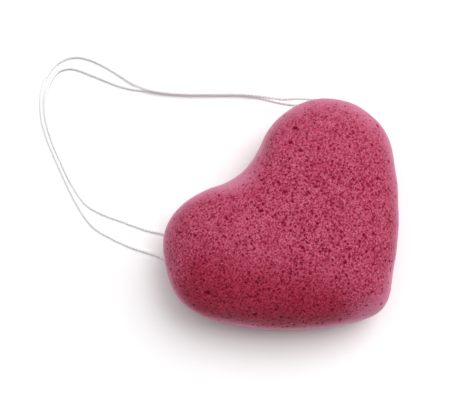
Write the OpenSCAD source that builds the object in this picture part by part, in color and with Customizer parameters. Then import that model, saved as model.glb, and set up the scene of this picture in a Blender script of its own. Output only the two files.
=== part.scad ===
// A heart-shaped konjac sponge with a doubled cotton string to hang it by.
// The sponge lies on its underside. +Z is up, and +Y runs from the tip to the hollow between the
// lobes. The origin is the middle of the underside. All lengths are in millimetres.

/* [Sponge] */
// Distance of each lobe's centre from the middle line
lobe_x = 20.9; // [18:0.1:24]
// Radius of each lobe, seen from above
lobe_r = 21.6; // [19:0.1:24]
// Distance from the lobes' centres to the centre of the tip's round
tip_drop = 30.3; // [26:0.1:34]
// Radius of the rounded tip
tip_r = 14.2; // [10:0.1:18]
// Radius of the long flank between a lobe and the tip
flank_r = 106; // [80:1:140]
// Radius of the hollow between the lobes
hollow_r = 24.3; // [18:0.1:32]
// Height of the widest line above the underside
waist_z = 13.2; // [11:0.1:16]
// Height of the crown above the widest line
crown_h = 18.7; // [14:0.1:24]
// Depth of the flat that the sponge rests on
rest_depth = 0.5; // [0.3:0.05:1]

/* [Needle channel] */
// Foam between the hollow's deepest point and the channel's middle line
channel_inset = 4; // [3:0.1:6]
// Height of the channel's middle line above the underside
channel_z = 4; // [3.4:0.1:7]
// Clearance between the two runs of string and the channel's wall
channel_clearance = 0.09; // [0.05:0.01:0.2]

/* [String] */
// Diameter of the cotton string
string_d = 1.1; // [0.8:0.05:1.2]
// Clearance between the two runs inside the channel
run_clearance = 0.02; // [0.01:0.01:0.05]
// How far the runs stand out of the channel's mouths
run_stand = 0.6; // [0.4:0.1:1.5]
// Distance of the loop's fold line from the origin, just beyond the lobes
fold_y = 36.5; // [35:0.1:38]
// Clearance between the leads and the strands at the fold line
fold_clearance = 0.3; // [0.2:0.05:0.6]

/* [Knot] */
// Radius of the knot that joins the string's ends
knot_r = 1.5; // [1.2:0.1:1.6]

/* [Hidden] */

foam_colour = [0.69, 0.27, 0.38];
cotton_colour = [0.95, 0.94, 0.92];

// How full the dome and the underside are: 2 is an ellipse, and more is squarer
crown_fullness = 2.7;
belly_fullness = 3.1;
// How far the heart's outline has turned into a circle at the crown
crown_round_share = 0.6;

// Steps of the outline's four arcs, and of the sponge's height
tip_steps = 4;
flank_steps = 6;
lobe_steps = 11;
hollow_steps = 4;
belly_steps = 8;
crown_steps = 13;
full_turn = 360;
quarter_turn = full_turn / 4;
half_turn = full_turn / 2;

// Places of the outline's circles, with the outline's middle at the origin
lobe_y = (tip_drop + tip_r - lobe_r) / 2;
lobe_c = [lobe_x, lobe_y];
tip_c = [0, lobe_y - tip_drop];
hollow_c = [0, lobe_y + sqrt(pow(lobe_r + hollow_r, 2) - pow(lobe_x, 2))];
half_length = lobe_y + lobe_r;
half_width = lobe_x + lobe_r;
mean_r = (half_length + half_width) / 2;

// The flank's circle touches the lobe's and the tip's from outside
flank_to_lobe = flank_r - lobe_r;
flank_to_tip = flank_r - tip_r;
lobe_to_tip = norm(tip_c - lobe_c);
flank_along = (pow(flank_to_lobe, 2) - pow(flank_to_tip, 2) + pow(lobe_to_tip, 2)) / (2 * lobe_to_tip);
flank_aside = sqrt(pow(flank_to_lobe, 2) - pow(flank_along, 2));
tip_way = (tip_c - lobe_c) / lobe_to_tip;
flank_c = lobe_c + tip_way * flank_along - [-tip_way.y, tip_way.x] * flank_aside;

belly_h = waist_z + rest_depth;
crown_z = waist_z + crown_h;

// The channel, and where it comes out through the lobes
channel_y = hollow_c.y - hollow_r - channel_inset;
string_r = string_d / 2;
run_y = string_r + run_clearance / 2;
channel_r = run_y + string_r + channel_clearance;
channel_share = share_at(dip_angle(waist_z - channel_z, belly_h, belly_fullness), belly_fullness);
mouth_x = channel_share * lobe_x
    + sqrt(pow(channel_share * lobe_r, 2) - pow(channel_y - channel_share * lobe_y, 2));
run_end_x = mouth_x + run_stand;

// The two strands' routes, by eye. A point with no height lies on the table. It is all one string,
// so each strand leaves the channel from one of its runs and comes back into the other.
back_run_y = channel_y + run_y;
front_run_y = channel_y - run_y;
outer_right_route = [
    [run_end_x, back_run_y, channel_z], [34.6, 24.6, 3.95], [36.8, 25.3, 3.6],
    [38.4, 26.8, 2.7], [38.9, 29, 1.7], [38.2, 31.2, 0.9], [36.6, 33.4], [33.6, fold_y]
];
// Between the lobes the outer strand lies on the inner one
outer_strand_route = [
    [33.6, fold_y], [30.7, 38.8, 0.65], [27.8, 41.6, 1.25], [24.5, 45.6, 1.7],
    [20.1, 50.5, 1.7], [12.4, 57.7, 1.7], [5, 64.8, 1.7], [-1.2, 72.1, 1.7],
    [-3.1, 75.6, 1.65], [-4.4, 79.3, 0.9], [-6.2, 87], [-8.9, 94.6], [-12.1, 99.2],
    [-17, 101.4], [-21.5, 101.3], [-25.5, 99.8], [-29.8, 96.6], [-34.9, 90.4], [-38.8, 82.2],
    [-41.8, 73.3], [-44.4, 65], [-46.3, 57.3], [-46.9, 50.6], [-45, 43.8], [-42, fold_y]
];
outer_left_route = [
    [-run_end_x, front_run_y, channel_z], [-34.2, 23.5, 3.85], [-35.6, 24.1, 3.1],
    [-36.4, 25.3, 2], [-36.9, 26.8, 1.1], [-37.7, 28.6], [-39.6, 32.2], [-42, fold_y]
];
inner_right_route = [
    [run_end_x, front_run_y, channel_z], [34.2, 23.4, 3.8], [35.6, 23.7, 3], [36.7, 24.7, 2.1],
    [37, 26.1, 1.75], [36.7, 27.4, 1.7]
];
knot_route = [[36.7, 27.4, 1.7], [35.5, 30.2, 1.7]];
inner_knot_route = [[35.5, 30.2, 1.7], [34.3, 32.2, 1], [32.8, 34], [30.3, fold_y]];
inner_strand_route = [
    [30.3, fold_y], [26.4, 41.9], [24.1, 45.6], [20.1, 50.5], [12.4, 57.7], [5, 64.8],
    [-1.2, 72.1], [-7.2, 79.7], [-11.9, 89.5], [-15.8, 97], [-19.6, 99.2], [-23.7, 98.5],
    [-28, 96.1], [-33, 90.8], [-37.3, 82.6], [-40.4, 73.7], [-42.8, 65], [-43.6, 57.8],
    [-41.5, 51.2], [-38.9, 46.1], [-36.6, 41.5], [-33.9, fold_y]
];
inner_left_route = [
    [-run_end_x, back_run_y, channel_z], [-34, 24.8, 3.7], [-35.1, 25.6, 3],
    [-35.5, 26.9, 2.2], [-35, 28.1, 1.5], [-33.7, 28.9, 0.9], [-32.1, 29.7], [-31.1, 30.7],
    [-30.9, 31.9], [-31.6, 33.4], [-33.9, fold_y]
];
// The cut ends of the string, from inside the knot to where they lie
tail_routes = [
    [[36.2, 28.6, 1.7], [35, 28.1, 1.2], [33.7, 27.4], [32, 26.8]],
    [[36.1, 28.9, 1.7], [34.4, 29.5, 1.1], [33.1, 29.4], [31.5, 28.8]]
];

string_sides = 8;
knot_sides = 10;
knot_steps = 8;
// How far the knot's middle is drawn in between its two turns, as a share of its swelling
knot_waist_share = 0.2;

// Points of an arc round c, from just after the first angle to the last
function arc(c, r, from, to, steps) =
    [for (i = [1 : steps]) let (a = from + (to - from) * i / steps) c + r * [cos(a), sin(a)]];
function bearing(from, to) = atan2(to.y - from.y, to.x - from.x);

// The right half of the heart, from the tip round to the bottom of the hollow
function half_outline() =
    let (
        at_tip = bearing(flank_c, tip_c),
        at_lobe = bearing(flank_c, lobe_c),
        at_hollow = bearing(lobe_c, hollow_c)
    )
    concat(
        [tip_c - [0, tip_r]],
        arc(tip_c, tip_r, -quarter_turn, at_tip, tip_steps),
        arc(flank_c, flank_r, at_tip, at_lobe, flank_steps),
        arc(lobe_c, lobe_r, at_lobe, at_hollow, lobe_steps),
        arc(hollow_c, hollow_r, at_hollow - half_turn, -quarter_turn, hollow_steps)
    );
function heart_outline() =
    let (half = half_outline(), last = len(half) - 1)
    concat(half, [for (i = [last - 1 : -1 : 1]) [-half[i].x, half[i].y]]);

// A superellipse's width and height, as shares, at an angle from the widest line
function share_at(angle, fullness) = pow(cos(angle), 2 / fullness);
function rise_at(angle, fullness) = pow(sin(angle), 2 / fullness);
// The angle at which it has dropped by a depth, out of its whole height
function dip_angle(depth, height, fullness) = asin(pow(depth / height, fullness / 2));

// One level of the sponge: the outline drawn in, and rounded off towards the crown
function level(outline, share, rounding, z) = [
    for (p = outline)
        let (f = share * (1 + rounding * (1 - share) * (mean_r / norm(p) - 1)))
        [p.x * f, p.y * f, z]
];
function sponge_levels(outline) =
    let (rest_angle = dip_angle(waist_z, belly_h, belly_fullness))
    concat(
        [for (i = [belly_steps : -1 : 1])
            let (a = rest_angle * i / belly_steps)
            level(outline, share_at(a, belly_fullness), 0,
                waist_z - belly_h * rise_at(a, belly_fullness))],
        [for (i = [0 : crown_steps - 1])
            let (a = quarter_turn * i / crown_steps)
            level(outline, share_at(a, crown_fullness), crown_round_share,
                waist_z + crown_h * rise_at(a, crown_fullness))]
    );

// Triangles between the levels, and round a point that closes each end
function skin_faces(rings, sides) =
    let (below = rings * sides, above = below + 1, top = (rings - 1) * sides)
    concat(
        [for (j = [0 : rings - 2], i = [0 : sides - 1])
            [j * sides + i, (j + 1) * sides + i, (j + 1) * sides + (i + 1) % sides]],
        [for (j = [0 : rings - 2], i = [0 : sides - 1])
            [j * sides + i, (j + 1) * sides + (i + 1) % sides, j * sides + (i + 1) % sides]],
        [for (i = [0 : sides - 1]) [below, i, (i + 1) % sides]],
        [for (i = [0 : sides - 1]) [above, top + (i + 1) % sides, top + i]]
    );
module skin(levels, below, above) {
    polyhedron(
        points = concat([for (ring = levels) each ring], [below, above]),
        faces = skin_faces(len(levels), len(levels[0]))
    );
}

function unit(v) = v / norm(v);
// A point on the table gets the string's radius as its height
function lifted(route) = [for (p = route) len(p) == 3 ? p : [p.x, p.y, string_r]];
// The route with its last point drawn back from the fold line by half the clearance
function short_of_fold(route) =
    let (n = len(route), end = route[n - 1], back = route[n - 2] - end)
    concat(
        [for (i = [0 : n - 2]) route[i]],
        [end + back * fold_clearance / 2 / abs(back.y)]
    );
function backwards(route) = [for (i = [len(route) - 1 : -1 : 0]) route[i]];

function direction(route, i) =
    unit(route[min(i + 1, len(route) - 1)] - route[max(i - 1, 0)]);
// A side direction for each point of a route, carried along it without twist
function carried(route, side, i = 0) =
    i == len(route) ? [] :
    let (t = direction(route, i), s = unit(side - t * (side * t)))
    concat([s], carried(route, s, i + 1));
// A ring round a route's point, cut along its direction to lie square to face
function ring(p, t, s, r, sides, face) = [
    for (k = [0 : sides - 1])
        let (
            a = full_turn * (k + 0.5) / sides,
            q = r * (cos(a) * s + sin(a) * cross(t, s))
        )
        p + q - t * (q * face) / (t * face)
];
// A tube along a route. Each end lies square to its face direction, or to the route if it has none.
module tube(route, radii, sides, first_face = undef, last_face = undef) {
    n = len(route);
    t = [for (i = [0 : n - 1]) direction(route, i)];
    s = carried(route, abs(t[0].z) < abs(t[0].x) + abs(t[0].y) ? [0, 0, 1] : [1, 0, 0]);
    rings = [
        for (i = [0 : n - 1])
            let (end = i == 0 ? first_face : i == n - 1 ? last_face : undef)
            ring(route[i], t[i], s[i], radii[i], sides, is_undef(end) ? t[i] : end)
    ];
    skin(rings, route[0], route[n - 1]);
}
module string(route, first_face = undef, last_face = undef) {
    path = lifted(route);
    tube(path, [for (p = path) string_r], string_sides, first_face, last_face);
}

fold_face = [0, 1, 0];
mouth_face = [1, 0, 0];
knot_face = unit(knot_route[1] - knot_route[0]);

module sponge_body() {
    color(foam_colour)
    difference() {
        skin(sponge_levels(heart_outline()), [0, 0, 0], [0, 0, crown_z]);
        translate([0, channel_y, channel_z])
        rotate([0, quarter_turn, 0])
            cylinder(r = channel_r, h = half_width * 3, center = true, $fn = 48);
    }
}

// The two runs that the channel holds, side by side
module threaded_string() {
    color(cotton_colour)
    for (y = [front_run_y, back_run_y])
        translate([0, y, channel_z])
        rotate([0, quarter_turn, 0])
            cylinder(r = string_r, h = run_end_x * 2, center = true, $fn = 24);
}

module string_left_leads() {
    color(cotton_colour)
    for (route = [outer_left_route, inner_left_route])
        string(short_of_fold(lifted(route)), mouth_face, fold_face);
}

module string_right_leads() {
    color(cotton_colour) {
        string(short_of_fold(lifted(outer_right_route)), mouth_face, fold_face);
        string(inner_right_route, mouth_face, knot_face);
        string(short_of_fold(lifted(inner_knot_route)), knot_face, fold_face);
    }
}

// An overhand knot's two turns, swollen and drawn tight, with the cut ends beside it
module string_knot() {
    swelling = knot_r - string_r;
    shares = [for (i = [0 : knot_steps]) i / knot_steps];
    color(cotton_colour)
    union() {
        tube(
            [for (f = shares) knot_route[0] + (knot_route[1] - knot_route[0]) * f],
            [for (f = shares)
                string_r + swelling * sqrt(sin(half_turn * f))
                    * (1 - knot_waist_share * pow(sin(half_turn * f), 8))],
            knot_sides
        );
        for (route = tail_routes) string(route);
    }
}

module string_outer_strand() {
    color(cotton_colour)
    string(
        short_of_fold(backwards(short_of_fold(backwards(lifted(outer_strand_route))))),
        fold_face, fold_face
    );
}

module string_inner_strand() {
    color(cotton_colour)
    string(
        short_of_fold(backwards(short_of_fold(backwards(lifted(inner_strand_route))))),
        fold_face, fold_face
    );
}

sponge_body();
threaded_string();
string_left_leads();
string_right_leads();
string_knot();
string_outer_strand();
string_inner_strand();
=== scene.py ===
import math

import bmesh
import bpy
import numpy as np
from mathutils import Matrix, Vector, kdtree, noise


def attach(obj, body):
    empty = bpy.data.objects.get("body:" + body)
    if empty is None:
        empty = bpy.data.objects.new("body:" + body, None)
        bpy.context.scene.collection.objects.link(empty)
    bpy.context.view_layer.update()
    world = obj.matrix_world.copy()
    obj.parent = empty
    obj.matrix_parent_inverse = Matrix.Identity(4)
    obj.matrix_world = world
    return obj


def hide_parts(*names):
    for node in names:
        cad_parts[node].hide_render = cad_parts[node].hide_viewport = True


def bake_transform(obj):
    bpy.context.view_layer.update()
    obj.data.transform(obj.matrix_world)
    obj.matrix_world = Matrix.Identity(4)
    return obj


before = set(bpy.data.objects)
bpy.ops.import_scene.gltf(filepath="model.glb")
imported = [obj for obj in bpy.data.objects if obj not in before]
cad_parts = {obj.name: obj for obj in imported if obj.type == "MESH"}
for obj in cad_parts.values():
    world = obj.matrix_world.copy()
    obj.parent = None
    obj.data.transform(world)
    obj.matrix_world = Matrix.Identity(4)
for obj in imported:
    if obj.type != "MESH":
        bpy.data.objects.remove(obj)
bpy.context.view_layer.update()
scene = bpy.context.scene
scene.view_settings.view_transform = "Standard"


# The camera looks steeply down on the sponge from beyond the left flank, with the heart's tip to
# the lower right, through a long lens from a third of a metre away.
view_azimuth = math.radians(-42.966)
view_elevation = math.radians(78.939)
view_distance = 0.34118
view_target = Vector((-0.01061, 0.02543, 0.01422))

towards_camera = Vector((
    math.sin(view_azimuth) * math.cos(view_elevation),
    -math.cos(view_azimuth) * math.cos(view_elevation),
    math.sin(view_elevation),
))
lens = bpy.data.cameras.new("camera")
lens.lens = 85
lens.sensor_width = 36
lens.clip_start = 0.01
camera = bpy.data.objects.new("camera", lens)
camera.location = view_target + towards_camera * view_distance
camera.rotation_euler = towards_camera.to_track_quat("Z", "Y").to_euler()
scene.collection.objects.link(camera)
scene.camera = camera


# The outer strand of the hanging loop. It is soft white cotton, three plies twisted together, and
# it leaves the right lobe's needle hole, lies round on the table and goes back into the left lobe.
string_r = 0.00055
ply_count = 3
ply_pitch = 0.0034
ply_groove_share = 0.3
groove_sharpness = 3
slub_share = 0.05
slub_scale = 500
string_sides = 18
line_spacing = 0.00026
samples_per_point = 40
# The runs in the needle channel end at hidden_x, and the string comes out of the foam at run_x.
hidden_x = 0.0306
run_x = 0.0329
channel_z = 0.004
back_run_y = 0.02458
front_run_y = 0.02346

outer_length = 0.2042
outer_route = [
    (hidden_x, back_run_y, channel_z), (run_x, back_run_y, channel_z), (0.0346, 0.0246, 0.00395),
    (0.0368, 0.0253, 0.0036), (0.0384, 0.0268, 0.0027), (0.0389, 0.029, 0.0017),
    (0.0382, 0.0312, 0.0009), (0.0366, 0.0334), (0.0336, 0.0365), (0.0307, 0.0388, 0.00065),
    (0.0278, 0.0416, 0.00125), (0.0245, 0.0456, 0.0017), (0.0201, 0.0505, 0.0017),
    (0.0124, 0.0577, 0.0017), (0.005, 0.0648, 0.0017), (-0.0012, 0.0721, 0.0017),
    (-0.0031, 0.0756, 0.00165), (-0.0044, 0.0793, 0.0009), (-0.0062, 0.087),
    (-0.0089, 0.0946), (-0.0121, 0.0992), (-0.017, 0.1014), (-0.0215, 0.1013),
    (-0.0255, 0.0998), (-0.0298, 0.0966), (-0.0349, 0.0904), (-0.0388, 0.0822),
    (-0.0418, 0.0733), (-0.0444, 0.065), (-0.0463, 0.0573), (-0.0469, 0.0506),
    (-0.045, 0.0438), (-0.042, 0.0365), (-0.0396, 0.0322), (-0.0377, 0.0286),
    (-0.0369, 0.0268, 0.0011), (-0.0364, 0.0253, 0.002), (-0.0356, 0.0241, 0.0031),
    (-0.0342, 0.0235, 0.00385), (-run_x, front_run_y, channel_z),
    (-hidden_x, front_run_y, channel_z),
]


def string_line(route, softening=40):
    """The limp string's own line: a smooth curve through the route's points, in even steps. A point
    that has no height of its own lies on the table."""
    points = np.array([p if len(p) == 3 else (*p, string_r) for p in route])
    # A cubic from point to point, over times that grow as the square root of the gaps
    gaps = np.linalg.norm(np.diff(points, axis=0), axis=1)
    times = np.concatenate([[0], np.cumsum(np.sqrt(gaps))])
    slopes = np.gradient(points, times, axis=0)
    fine = np.linspace(0, times[-1], samples_per_point * len(points))
    i = np.clip(np.searchsorted(times, fine, side="right") - 1, 0, len(points) - 2)
    step = (times[i + 1] - times[i])[:, None]
    t = (fine - times[i])[:, None] / step
    curve = (
        (1 + 2 * t) * (1 - t) ** 2 * points[i] + t * (1 - t) ** 2 * step * slopes[i]
        + t * t * (3 - 2 * t) * points[i + 1] + t * t * (t - 1) * step * slopes[i + 1]
    )
    run = np.concatenate([[0], np.cumsum(np.linalg.norm(np.diff(curve, axis=0), axis=1))])
    even = np.linspace(0, run[-1], round(run[-1] / line_spacing))
    line = np.stack([np.interp(even, run, curve[:, k]) for k in range(3)], axis=1)
    for _ in range(softening):
        line[1:-1] += (line[:-2] + line[2:] - 2 * line[1:-1]) / 4
    return line


def line_length(line):
    return float(np.linalg.norm(np.diff(line, axis=0), axis=1).sum())


def twine(name, line, radius=string_r):
    """A tube along a line, with the grooves between its twisted plies, closed at both ends."""
    along = np.gradient(line, axis=0)
    along /= np.linalg.norm(along, axis=1)[:, None]
    # The first side is square to a way that no line starts in, and each next one turns the least
    first_way = (0.31, 0.17, 0.93)
    sides = [np.cross(along[0], first_way)]
    for direction in along:
        side = sides[-1] - direction * (direction @ sides[-1])
        sides.append(side / np.linalg.norm(side))
    side = np.array(sides[1:])
    over = np.cross(along, side)
    steps = len(line) - 1
    spacing = line_length(line) / steps

    bm = bmesh.new()
    bm.loops.layers.uv.new("UVMap")
    bmesh.ops.create_grid(bm, x_segments=steps, y_segments=string_sides, size=0.5, calc_uvs=True)
    for vert in bm.verts:
        i = round((vert.co.x + 0.5) * steps)
        turn = math.tau * (vert.co.y + 0.5)
        ply_turn = ply_count / 2 * (turn - math.tau * i * spacing / ply_pitch)
        groove = abs(math.sin(ply_turn)) ** groove_sharpness
        slub = 1 + slub_share * noise.noise((i * spacing * slub_scale, radius, 0))
        r = radius * slub * (1 - ply_groove_share * groove)
        vert.co = line[i] + r * (math.cos(turn) * side[i] + math.sin(turn) * over[i])
    bmesh.ops.remove_doubles(bm, verts=bm.verts, dist=radius / 1000)
    bmesh.ops.holes_fill(bm, edges=[e for e in bm.edges if e.is_boundary], sides=0)
    bmesh.ops.recalc_face_normals(bm, faces=bm.faces)
    mesh = bpy.data.meshes.new(name)
    bm.to_mesh(mesh)
    bm.free()
    mesh.shade_smooth()
    piece = bpy.data.objects.new(name, mesh)
    scene.collection.objects.link(piece)
    return piece


class Wire:
    """An output of a material's node. Each operator on it adds a Math node."""

    def __init__(self, tree, socket=None):
        self.tree = tree
        self.socket = socket

    def add(self, kind, settings=None, inputs=None, output=0):
        """Adds a node: its settings are set first, then the values or links of its sockets."""
        node = self.tree.nodes.new("ShaderNode" + kind)
        for key, value in (settings or {}).items():
            setattr(node, key, value)
        for key, value in (inputs or {}).items():
            if isinstance(value, Wire):
                self.tree.links.new(value.socket, node.inputs[key])
            else:
                node.inputs[key].default_value = value
        return Wire(self.tree, node.outputs[output] if node.outputs else None)

    def other(self, output):
        """Another output of the same node."""
        return Wire(self.tree, self.socket.node.outputs[output])

    def math(self, operation, *values):
        return self.add("Math", {"operation": operation}, dict(enumerate(values)))

    def __add__(self, other):
        return self.math("ADD", self, other)

    def __sub__(self, other):
        return self.math("SUBTRACT", self, other)

    def __rsub__(self, other):
        return self.math("SUBTRACT", other, self)

    def __mul__(self, other):
        return self.math("MULTIPLY", self, other)

    def __pow__(self, other):
        return self.math("POWER", self, other)

    __radd__ = __add__
    __rmul__ = __mul__

    def largest(self, *others):
        """The largest of this value and some others."""
        top = self
        for other in others:
            top = self.math("MAXIMUM", top, other)
        return top

    def wave(self):
        """0 to 1 and back to 0 for each half turn of this angle."""
        return self.math("ABSOLUTE", self.math("SINE", self))

    def band(self, low, high):
        """0 below low and 1 above high, smooth between them. It falls if low is above high."""
        settings = {"interpolation_type": "SMOOTHSTEP"}
        return self.add("MapRange", settings, {"Value": self, "From Min": low, "From Max": high})

    def blend(self, below, above):
        """A colour from below to above as this value goes from 0 to 1. A Mix node's colours are its
        sockets 6 and 7, and its output 2."""
        mixed = {0: self, 6: below, 7: above}
        return self.add("Mix", {"data_type": "RGBA"}, mixed, output=2)


def new_finish(name):
    """An empty material, as a wire to build on, and the material itself."""
    material = bpy.data.materials.new(name)
    material.use_nodes = True
    material.node_tree.nodes.clear()
    return Wire(material.node_tree), material


cotton_white = (0.99, 0.988, 0.985, 1)
# A grey for the fibres' uneven tone and for painted shade in the grooves between the plies
fibre_grey_and_groove_shade = (0.94, 0.935, 0.93, 1)
fibre_scale = 500
fibres_around = 26


def cotton(name, length):
    """Undyed cotton: fine fibres along the plies, and soft grey painted shade in the grooves
    between them.
    """
    finish, material = new_finish(name)
    places = finish.add("TexCoord", output="UV")
    along = finish.add("SeparateXYZ", inputs={"Vector": places})
    around = along.other("Y") - along * (length / ply_pitch)
    ply_turn = math.pi * ply_count * around
    groove = ply_turn.wave() ** 4
    fibre_places = finish.add("CombineXYZ", inputs={
        "X": along * (length * fibre_scale), "Y": around * fibres_around,
    })
    fibres = finish.add("TexNoise", inputs={
        "Vector": fibre_places, "Scale": 1.0, "Detail": 3.0, "Roughness": 0.6,
    })
    # Painted shade in the grooves, with the fibres' own uneven tone
    shade = groove * 0.6 + fibres.band(0.35, 0.75) * 0.3
    height = (1 - groove) * 0.7 + fibres * 0.5
    bump = finish.add("Bump", inputs={"Height": height, "Strength": 0.4, "Distance": 0.0001})
    shader = finish.add("BsdfPrincipled", inputs={
        "Base Color": shade.blend(cotton_white, fibre_grey_and_groove_shade), "Roughness": 0.85,
        "Specular IOR Level": 0.2, "Subsurface Weight": 0.25, "Subsurface Scale": 0.001,
        "Subsurface Radius": (1.0, 1.0, 1.0), "Normal": bump,
    })
    finish.add("OutputMaterial", inputs={"Surface": shader})
    return material


outer_line = string_line(outer_route)
outer_strand = twine("outer_strand", outer_line)
outer_strand.data.materials.append(cotton("cotton_outer", outer_length))
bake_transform(outer_strand)
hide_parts("string_outer_strand", "string_left_leads", "string_right_leads")


# The inner strand is the other half of the same string. It lies beside the outer one, runs through
# the knot under the right lobe, and slips in under the left lobe on its way to the needle hole.
inner_length = 0.1956
inner_route = [
    (hidden_x, front_run_y, channel_z), (run_x, front_run_y, channel_z),
    (0.0342, 0.0234, 0.0038), (0.0356, 0.0237, 0.003), (0.0367, 0.0247, 0.0021),
    (0.037, 0.0261, 0.00175), (0.0367, 0.0274, 0.0017), (0.0355, 0.0302, 0.0017),
    (0.0343, 0.0322, 0.001), (0.0328, 0.034), (0.0303, 0.0365), (0.0264, 0.0419),
    (0.0241, 0.0456), (0.0201, 0.0505), (0.0124, 0.0577), (0.005, 0.0648), (-0.0012, 0.0721),
    (-0.0072, 0.0797), (-0.0119, 0.0895), (-0.0158, 0.097), (-0.0196, 0.0992),
    (-0.0237, 0.0985), (-0.028, 0.0961), (-0.033, 0.0908), (-0.0373, 0.0826),
    (-0.0404, 0.0737), (-0.0428, 0.065), (-0.0436, 0.0578), (-0.0415, 0.0512),
    (-0.0389, 0.0461), (-0.0366, 0.0415), (-0.0339, 0.0365), (-0.0316, 0.0334),
    (-0.0309, 0.0319), (-0.0311, 0.0307), (-0.0321, 0.0297), (-0.0337, 0.0289, 0.0009),
    (-0.035, 0.0281, 0.0015), (-0.0355, 0.0269, 0.0022), (-0.0351, 0.0256, 0.003),
    (-0.034, 0.0248, 0.0037), (-run_x, back_run_y, channel_z), (-hidden_x, back_run_y, channel_z),
]
inner_line = string_line(inner_route)
inner_strand = twine("inner_strand", inner_line)
inner_strand.data.materials.append(cotton("cotton_inner", inner_length))
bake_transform(inner_strand)
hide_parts("string_inner_strand", "string_left_leads", "string_right_leads")


# The knot that joins the string's two ends. One end is wound round the other and drawn tight, and
# both cut ends come out beside the strand and lie on the table, under the lobe.
knot_start = Vector((0.0367, 0.0274, 0.0017))
knot_end = Vector((0.0355, 0.0302, 0.0017))
knot_string_r = 0.0005
wrap_r = 0.00098
wrap_turns = 2.3
wrap_start_share = 0.14
wrap_share = 0.72
wrap_points = 22
knot_axis = (knot_end - knot_start).normalized()
knot_side = knot_axis.cross(Vector((0, 0, 1))).normalized()
knot_up = knot_side.cross(knot_axis)
wound = []
for i in range(wrap_points + 1):
    share = i / wrap_points
    turn = math.tau * wrap_turns * share + math.pi
    middle = knot_start.lerp(knot_end, wrap_start_share + wrap_share * share)
    wound.append(tuple(middle + wrap_r * (math.cos(turn) * knot_side + math.sin(turn) * knot_up)))
knot_route = [
    (0.032, 0.0268, knot_string_r), (0.0337, 0.0274, knot_string_r), (0.035, 0.0276, 0.0009),
    *wound,
    (0.0342, 0.0299, 0.0009), (0.0331, 0.0294, knot_string_r), (0.0315, 0.0288, knot_string_r),
]
knot_line = string_line(knot_route, softening=4)
knot = twine("string_knot_turns", knot_line, knot_string_r)
knot.data.materials.append(cotton("cotton_knot", line_length(knot_line)))
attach(knot, "sponge")
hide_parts("string_knot")


# The two runs of string inside the needle channel, side by side and held all the way by the foam.
# They join the four leads just inside the mouths of the channel.
for name, y in (("back_run", back_run_y), ("front_run", front_run_y)):
    run_line = string_line([(x, y, channel_z) for x in (-hidden_x, 0, hidden_x)], softening=0)
    run = twine(name, run_line)
    run.data.materials.append(cotton("cotton_" + name, 2 * hidden_x))
    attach(run, "sponge")
    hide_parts("threaded_string")


# The sponge: konjac flour gel, frozen and dried in a heart-shaped mould, which leaves a soft foam
# with open pores on its face and a smooth skin round its rim, paler partly of itself and partly by
# painted rim light. It is one solid block.
lobe_x = 0.0209
lobe_r = 0.0216
tip_drop = 0.0303
tip_r = 0.0142
flank_r = 0.106
hollow_r = 0.0243
waist_z = 0.0132
crown_h = 0.0187
rest_depth = 0.0005
crown_fullness = 2.7
belly_fullness = 3.1
crown_round_share = 0.6

lobe_y = (tip_drop + tip_r - lobe_r) / 2
lobe_c = np.array((lobe_x, lobe_y))
tip_c = np.array((0, lobe_y - tip_drop))
hollow_c = np.array((0, lobe_y + math.sqrt((lobe_r + hollow_r) ** 2 - lobe_x ** 2)))
tip_gap = np.linalg.norm(tip_c - lobe_c)
flank_along = ((flank_r - lobe_r) ** 2 - (flank_r - tip_r) ** 2 + tip_gap ** 2) / (2 * tip_gap)
flank_aside = math.sqrt((flank_r - lobe_r) ** 2 - flank_along ** 2)
tip_way = (tip_c - lobe_c) / tip_gap
flank_c = lobe_c + tip_way * flank_along - np.array((-tip_way[1], tip_way[0])) * flank_aside
mean_r = (lobe_x + lobe_r + lobe_y + lobe_r) / 2


def bearing(point):
    return math.atan2(point[1], point[0])


def circle_reach(direction, centre, radius, side=1):
    """How far a circle's near or far side is from the heart's middle, along unit directions."""
    along = direction @ centre
    return along + side * np.sqrt(np.maximum(along ** 2 - centre @ centre + radius ** 2, 0))


def heart_reach(angle):
    """How far the heart's outline is from its middle, at each angle."""
    right = np.stack([np.abs(np.cos(angle)), np.sin(angle)], axis=1)
    folded = np.arctan2(right[:, 1], right[:, 0])
    tip_end = tip_c + tip_r * (tip_c - flank_c) / (flank_r - tip_r)
    flank_end = lobe_c + lobe_r * (lobe_c - flank_c) / (flank_r - lobe_r)
    lobe_end = lobe_c + lobe_r * (hollow_c - lobe_c) / (lobe_r + hollow_r)
    return np.select(
        [folded < bearing(tip_end), folded < bearing(flank_end), folded < bearing(lobe_end)],
        [circle_reach(right, tip_c, tip_r), circle_reach(right, flank_c, flank_r),
         circle_reach(right, lobe_c, lobe_r)],
        circle_reach(right, hollow_c, hollow_r, side=-1),
    )


def ease(values, low, high):
    """0 below low and 1 above high, smooth between them."""
    t = np.clip((values - low) / (high - low), 0, 1)
    return t * t * (3 - 2 * t)


bm = bmesh.new()
bmesh.ops.create_icosphere(bm, subdivisions=8, radius=1)
sponge_mesh = bpy.data.meshes.new("sponge")
bm.to_mesh(sponge_mesh)
bm.free()
count = len(sponge_mesh.vertices)
ball = np.empty(count * 3)
sponge_mesh.vertices.foreach_get("co", ball)
ball = ball.reshape(-1, 3)

# More of the ball's points go to the crown than to the underside
crown_shift = 0.22
climb = np.arcsin(np.clip(ball[:, 2], -1, 1))
climb = climb - crown_shift * np.cos(climb)
angle = np.arctan2(ball[:, 1], ball[:, 0])

# Above and below the waist the wall curves over as a superellipse, fuller than a ball
fullness = np.where(climb > 0, crown_fullness, belly_fullness)
across = np.cos(climb)
rise = np.abs(np.sin(climb))
span = (across ** fullness + rise ** fullness) ** (1 / fullness)
out_share = across / span
rise_share = rise / span
outline = heart_reach(angle)

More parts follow.
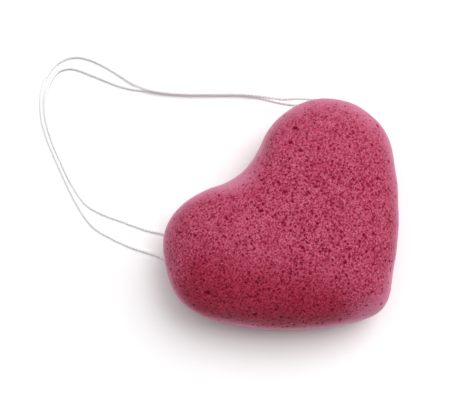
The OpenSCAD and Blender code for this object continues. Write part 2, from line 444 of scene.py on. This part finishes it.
# The dried foam isn't quite even: it stands out or in a little, by these millimetres, at bearings
# that go round in even steps, and again in a few narrower places. The bearings and the widths are
# in degrees.
swell_step = 24
swell_width = 18
uneven = (0.3, 0.33, 0.29, 0.16, 0.46, 0.15, 0.04, 0.12, 0.22, 0.4, -0.22, 0.55, -0.4, 0.77, -0.28)
swells = [(swell_step * i - 180, swell_width, bulge) for i, bulge in enumerate(uneven)]
swells += [(-87, 8, 0.6), (-100, 8, -0.35), (-70, 8, -0.25), (71, 7, 0.5), (91, 8, -0.35)]
swells += [(147, 9, -0.45), (163, 8, 0.4)]
for degrees, width, bulge in swells:
    off = (np.degrees(angle) - degrees + 180) % 360 - 180
    outline = outline + bulge / 1000 * np.exp(-((off / width) ** 2))

# The higher up the crown, the more the heart's outline gives way to a circle of mean_r
rounding = np.where(climb > 0, crown_round_share * (1 - out_share), 0)
reach = outline * out_share * (1 + rounding * (mean_r / outline - 1))
crown_z = waist_z + crown_h * rise_share
belly_z = waist_z - (waist_z + rest_depth) * rise_share
height = np.where(climb > 0, crown_z, belly_z)
place = np.stack([reach * np.cos(angle), reach * np.sin(angle), np.maximum(height, 0)], axis=1)
sponge_mesh.vertices.foreach_set("co", place.ravel())
sponge_mesh.update()
outward = np.empty(count * 3)
sponge_mesh.vertices.foreach_get("normal", outward)
outward = outward.reshape(-1, 3)

# The smooth skin of the rim covers the wall. Its pale colour is partly the skin's own and partly
# painted rim light: it leans towards the lamps, and it reaches furthest in at the tip and beside
# the hollow, where it paints light, and least on the left flank. Its edge is a climb above the
# waist, as an angle.
skin_edge = 0.42
rim_light_lean = 0.16
rim_light_bearing = math.radians(22)
skin_waver = 0.06
waver_scale = 130
skin_fade = 0.2
further_in = ((-88, 22, 0.26), (104, 24, 0.37))
underside_edge = 0.75
underside_fade = 0.15
waver = np.array([noise.noise(Vector(p) * waver_scale) for p in place])
skin_climb = skin_edge + rim_light_lean * np.cos(angle - rim_light_bearing) + skin_waver * waver
for degrees, width, further in further_in:
    skin_climb += further * np.exp(-(((np.degrees(angle) - degrees) / width) ** 2))
rim = ease(skin_climb - climb, -skin_fade, skin_fade)
rim *= ease(climb + underside_edge, -underside_fade, underside_fade)

# The pores that are modelled: nine large ones in their own places, each with its radius, and the
# rest in places and sizes drawn at random, with gaps between them
large_pores = (
    (-0.0358, 0.0064, 0.0008), (0.0145, 0.0228, 0.00075), (0.015, 0.0189, 0.0007),
    (0.0192, 0.0153, 0.0006), (-0.0058, -0.0039, 0.0007), (0.0332, 0.0051, 0.00055),
    (0.0269, -0.0037, 0.00055), (-0.0268, 0.0216, 0.0006), (-0.0074, 0.0132, 0.0006),
)
pore_tries = 2400
least_pore_r = 0.00025
pore_r_spread = 0.00014
gap_in_radii = 1.3
least_gap = 0.0004
cell = 0.0016
draw = np.random.default_rng(11)
tries = draw.permutation(count)[:pore_tries]
radii = least_pore_r + pore_r_spread * np.abs(draw.normal(size=len(tries)))
chance = draw.random(len(tries))
pores = []
for x, y, pore_r in large_pores:
    # Below the waist a point counts as a metre off, so that the nearest one is on the face
    nearest = np.argmin(np.hypot(place[:, 0] - x, place[:, 1] - y) + (climb < 0))
    pores.append((place[nearest], pore_r))
taken = {}
for vert, pore_r, luck in zip(tries, radii, chance):
    if luck < rim[vert]:
        continue
    middle = place[vert]
    key = tuple((middle // cell).astype(int))
    near = [
        other
        for dx in (-1, 0, 1) for dy in (-1, 0, 1) for dz in (-1, 0, 1)
        for other in taken.get((key[0] + dx, key[1] + dy, key[2] + dz), ())
    ]
    if all(
        np.linalg.norm(middle - spot) > gap_in_radii * (pore_r + spot_r) + least_gap
        for spot, spot_r in near
    ):
        taken.setdefault(key, []).append((middle, pore_r))
        pores.append((middle, pore_r))

# A pore has a ragged edge and a flat bottom, and a wide one is deeper. Its floor and its edge are
# in pore radii.
edge_waver = 0.55
edge_waver_scale = 1300
floor_in_radii = 0.5
slope_in_radii = 0.7
reach_in_radii = 1.8
least_pore_depth = 0.0001
pore_depth_share = 0.45
tree = kdtree.KDTree(count)
for i, point in enumerate(place):
    tree.insert(point, i)
tree.balance()
pore = np.zeros(count)
dent = np.zeros(count)
for middle, pore_r in pores:
    for point, i, gap in tree.find_range(middle, reach_in_radii * pore_r):
        off = gap / pore_r * (1 + edge_waver * noise.noise(point * edge_waver_scale))
        hole = 1 - min(max((off - floor_in_radii) / slope_in_radii, 0), 1)
        hole = hole * hole * (3 - 2 * hole)
        pore[i] = max(pore[i], hole)
        dent[i] = max(dent[i], hole * (least_pore_depth + pore_depth_share * pore_r))

# The foam's own unevenness: broad, shallow lumps from drying, and a fine grain
lump_h = 0.00028
lump_scale = 110
grain_h = 0.00006
grain_scale = 900
lumps = np.array([noise.noise(Vector(p) * lump_scale) for p in place])
grain = np.array([noise.noise(Vector(p) * grain_scale) for p in place])
lift = lump_h * lumps + grain_h * grain * (1 - 0.5 * rim) - dent
resting = height <= 0
lift[resting] = -dent[resting]

# Where the needle went in, the foam is drawn in round the string: a wide dimple, then the mouth
needle_hole_x = 0.0323
dimple_depth = 0.0009
dimple_r = 0.0008
dimple_edge_r = 0.0032
mouth_depth = 0.0008
mouth_r = 0.0009
mouth_edge_r = 0.0014
off_hole = np.linalg.norm(np.stack([
    np.abs(place[:, 0]) - needle_hole_x,
    place[:, 1] - (back_run_y + front_run_y) / 2,
    place[:, 2] - channel_z,
], axis=1), axis=1)
lift -= (
    dimple_depth * (1 - ease(off_hole, dimple_r, dimple_edge_r))
    + mouth_depth * (1 - ease(off_hole, mouth_r, mouth_edge_r))
)

shaped = place + outward * lift[:, None]
shaped[:, 2] = np.maximum(shaped[:, 2], 0)
sponge_mesh.vertices.foreach_set("co", shaped.ravel())
for name, values in (("pore", pore), ("rim", rim)):
    attribute = sponge_mesh.attributes.new(name, "FLOAT", "POINT")
    attribute.data.foreach_set("value", values.astype(np.float32))
sponge_mesh.shade_smooth()
sponge_mesh.update()
sponge = bpy.data.objects.new("sponge", sponge_mesh)
scene.collection.objects.link(sponge)

foam_light = (0.535, 0.094, 0.178, 1)
foam_mid = (0.34, 0.016, 0.06, 1)
# The pores' deep crimson is partly painted shade inside them, and the darker colour after it is
# painted shade at the bottoms of the deeper pores
pore_crimson_and_shade = (0.235, 0.0006, 0.025, 1)
pore_bottom_painted_shade = (0.2, 0.0004, 0.018, 1)
foam_speck = (0.62, 0.31, 0.4, 1)
# The skin's pale pink is partly its own and partly painted rim light
pale_skin_and_rim_light = (0.62, 0.195, 0.31, 1)
# No tint, and a painted shade tint that deepens the left lobe's lower flank
unshaded_tint = (1, 1, 1, 1)
painted_shade_tint = (0.73, 0.34, 0.42, 1)
# How many of each there are along a metre of foam
tiny_pore_scale = 1500.0
small_pore_scale = 900.0
wall_scale = 1450.0
patch_scale = 150.0
speck_scale = 2600.0
wobble_scale = 900.0
wobble_reach = 0.0009
# Pores are widest round the face's middle, and narrow and partly closed in the skin
face_middle = (0.006, 0.002, 0.031)
widest_r = 0.006
even_r = 0.028
wider_on_face = 0.04
narrower_in_skin = 0.15
closed_in_skin = 0.45
pore_edge = 0.11
# The way straight out of the left lobe's lower flank, and where the painted shade comes in: going
# out that way, beyond the lobe's end of the flank, and before the tip's end
flank_way = (-0.82, -0.57)
painted_shade_out = (0.008, 0.022)
painted_shade_lobe_end = (-0.039, -0.03)
painted_shade_tip_end = (0.023, 0.011)

finish, foam = new_finish("konjac_foam")
places = finish.add("TexCoord", output="Object")
pore_share = finish.add("Attribute", {"attribute_name": "pore"}, output="Fac")
rim_share = finish.add("Attribute", {"attribute_name": "rim"}, output="Fac")
open_share = 1 - closed_in_skin * rim_share
wobble = finish.add("TexNoise", inputs={
    "Vector": places, "Scale": wobble_scale, "Detail": 2.0,
}, output="Color")
wobbled = finish.add("VectorMath", {"operation": "MULTIPLY_ADD"}, {
    0: wobble, 1: (wobble_reach, wobble_reach, wobble_reach), 2: places,
})
off_middle = finish.add("VectorMath", {"operation": "DISTANCE"}, {
    0: places, 1: face_middle,
}, output="Value")
middle_share = off_middle.band(even_r, widest_r)


def pits(scale, least, most):
    """How far inside a pore of one size a point is: widest on the face, pinholes in the skin."""
    gap = finish.add("TexVoronoi", inputs={"Vector": wobbled, "Scale": scale})
    luck = finish.add("SeparateColor", inputs={"Color": gap.other("Color")})
    widening = middle_share * wider_on_face - rim_share * narrower_in_skin
    return luck * (most - least) + least + widening - gap


wall = finish.add("TexNoise", inputs={
    "Vector": places, "Scale": wall_scale, "Detail": 2.0, "Roughness": 0.65,
})
patches = finish.add("TexNoise", inputs={"Vector": places, "Scale": patch_scale, "Detail": 3.0})
specks = finish.add("TexNoise", inputs={"Vector": places, "Scale": speck_scale, "Detail": 1.0})

# The pores: two sizes lie between those that are modelled. Their crimson is partly painted shade
# in the holes, and all but the tiny ones have bottoms darkened with more painted shade.
tiny = pits(tiny_pore_scale, least=0.15, most=0.5)
small = pits(small_pore_scale, least=0.1, most=0.46)
openings = (tiny.band(-pore_edge, pore_edge) * 0.6).largest(small.band(-pore_edge, pore_edge) * 0.8)
holes = pore_share.band(0.1, 0.7).largest(openings * open_share)
shaded_bottoms = pore_share.band(0.6, 1.0).largest(small.band(0.1, 0.35) * open_share)

# The foam from deep to pale, with the paler skin over it, partly painted rim light, then the bright
# specks and the pores
tone = wall.band(0.4, 0.58) * 0.8 + patches.band(0.3, 0.7) * 0.2
ground = tone.blend(foam_mid, foam_light)
skinned = (rim_share * (patches.band(0.1, 0.6) * 0.3 + 0.58)).blend(ground, pale_skin_and_rim_light)
speckled = (specks.band(0.62, 0.7) * open_share * 0.6).blend(skinned, foam_speck)
pitted = shaded_bottoms.blend(holes.blend(speckled, pore_crimson_and_shade), pore_bottom_painted_shade)

# Painted shade: the left lobe's lower flank is a deeper, more saturated pink, for the shade that
# falls there
across_x = finish.add("SeparateXYZ", inputs={"Vector": places})
along_y = across_x.other("Y")
flank_out = across_x * flank_way[0] + along_y * flank_way[1]
flank_down = along_y * flank_way[0] - across_x * flank_way[1]
left_flank_painted_shade = (
    flank_out.band(*painted_shade_out) * flank_down.band(*painted_shade_lobe_end) * flank_down.band(*painted_shade_tip_end)
    * (1 - 0.3 * rim_share)
)
colour = finish.add("VectorMath", {"operation": "MULTIPLY"}, {
    0: pitted, 1: left_flank_painted_shade.blend(unshaded_tint, painted_shade_tint),
})

# The walls between the pores stand up a little, less so in the skin
sunk = (tiny.band(-0.15, 0.4) * 0.5).largest(small.band(-0.15, 0.4))
relief = (wall * 0.4 - sunk) * (1 - 0.7 * rim_share)
bump = finish.add("Bump", inputs={"Height": relief, "Strength": 0.72, "Distance": 0.0003})
shader = finish.add("BsdfPrincipled", inputs={
    "Base Color": colour, "Roughness": 0.66 + holes * 0.2, "Specular IOR Level": 0.1,
    "Subsurface Weight": 0.1, "Subsurface Radius": (1.0, 0.25, 0.3), "Subsurface Scale": 0.0012,
    "Sheen Weight": 0.44, "Sheen Roughness": 0.35, "Sheen Tint": (1.0, 0.75, 0.9, 1.0),
    "Normal": bump,
})
finish.add("OutputMaterial", inputs={"Surface": shader})
sponge_mesh.materials.append(foam)
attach(sponge, "sponge")
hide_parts("sponge_body")


# A plain white table under soft studio light: a broad key lamp from above the heart's right side,
# a second one nearly overhead, and a weak fill from beyond the left lobe.
table_z = -0.00005
table_half = 1.5
table_matt = (0.9, 0.9, 0.9, 1)
table_seen = (0.97, 0.97, 0.97, 1)
studio_white = (1, 1, 1, 1)
ambient_strength = 0.12
# Each lamp's bearing and height in degrees, its strength, and how wide it looks in degrees
lamps = (("key", -6, 54, 1.76, 48), ("top", 34, 79, 1.5, 54), ("fill", 138, 30, 0.42, 90))

bm = bmesh.new()
bmesh.ops.create_grid(bm, x_segments=1, y_segments=1, size=table_half)
table_mesh = bpy.data.meshes.new("table")
bm.to_mesh(table_mesh)
bm.free()
for vert in table_mesh.vertices:
    vert.co.z = table_z
table = bpy.data.objects.new("table", table_mesh)
scene.collection.objects.link(table)

# The camera sees the table a little whiter than it is to the light
finish, paper = new_finish("white_table")
to_camera = finish.add("LightPath", output="Is Camera Ray")
matt = finish.add("BsdfDiffuse", inputs={"Color": table_matt})
seen = finish.add("BsdfDiffuse", inputs={"Color": table_seen})
both = finish.add("MixShader", inputs={0: to_camera, 1: matt, 2: seen})
finish.add("OutputMaterial", inputs={"Surface": both})
table_mesh.materials.append(paper)

# The camera, gloss and glass see a white studio, which lights the sponge only weakly
world = bpy.data.worlds.new("studio")
scene.world = world
world.use_nodes = True
world.node_tree.nodes.clear()
studio = Wire(world.node_tree)
ray = studio.add("LightPath", output="Is Camera Ray")
direct = ray.largest(ray.other("Is Glossy Ray"), ray.other("Is Transmission Ray"))
ambient = studio.add("Background", inputs={"Color": studio_white, "Strength": ambient_strength})
white = studio.add("Background", inputs={"Color": studio_white, "Strength": 1.0})
studio.add("OutputWorld", inputs={"Surface": studio.add("MixShader", inputs={
    0: direct, 1: ambient, 2: white,
})})

for name, lamp_bearing, lamp_height, strength, spread in lamps:
    lamp = bpy.data.lights.new(name, "SUN")
    lamp.energy = strength
    lamp.angle = math.radians(spread)
    light = bpy.data.objects.new(name, lamp)
    turn, up = math.radians(lamp_bearing), math.radians(lamp_height)
    towards_lamp = Vector((
        math.cos(turn) * math.cos(up), math.sin(turn) * math.cos(up), math.sin(up),
    ))
    light.rotation_euler = towards_lamp.to_track_quat("Z", "Y").to_euler()
    scene.collection.objects.link(light)
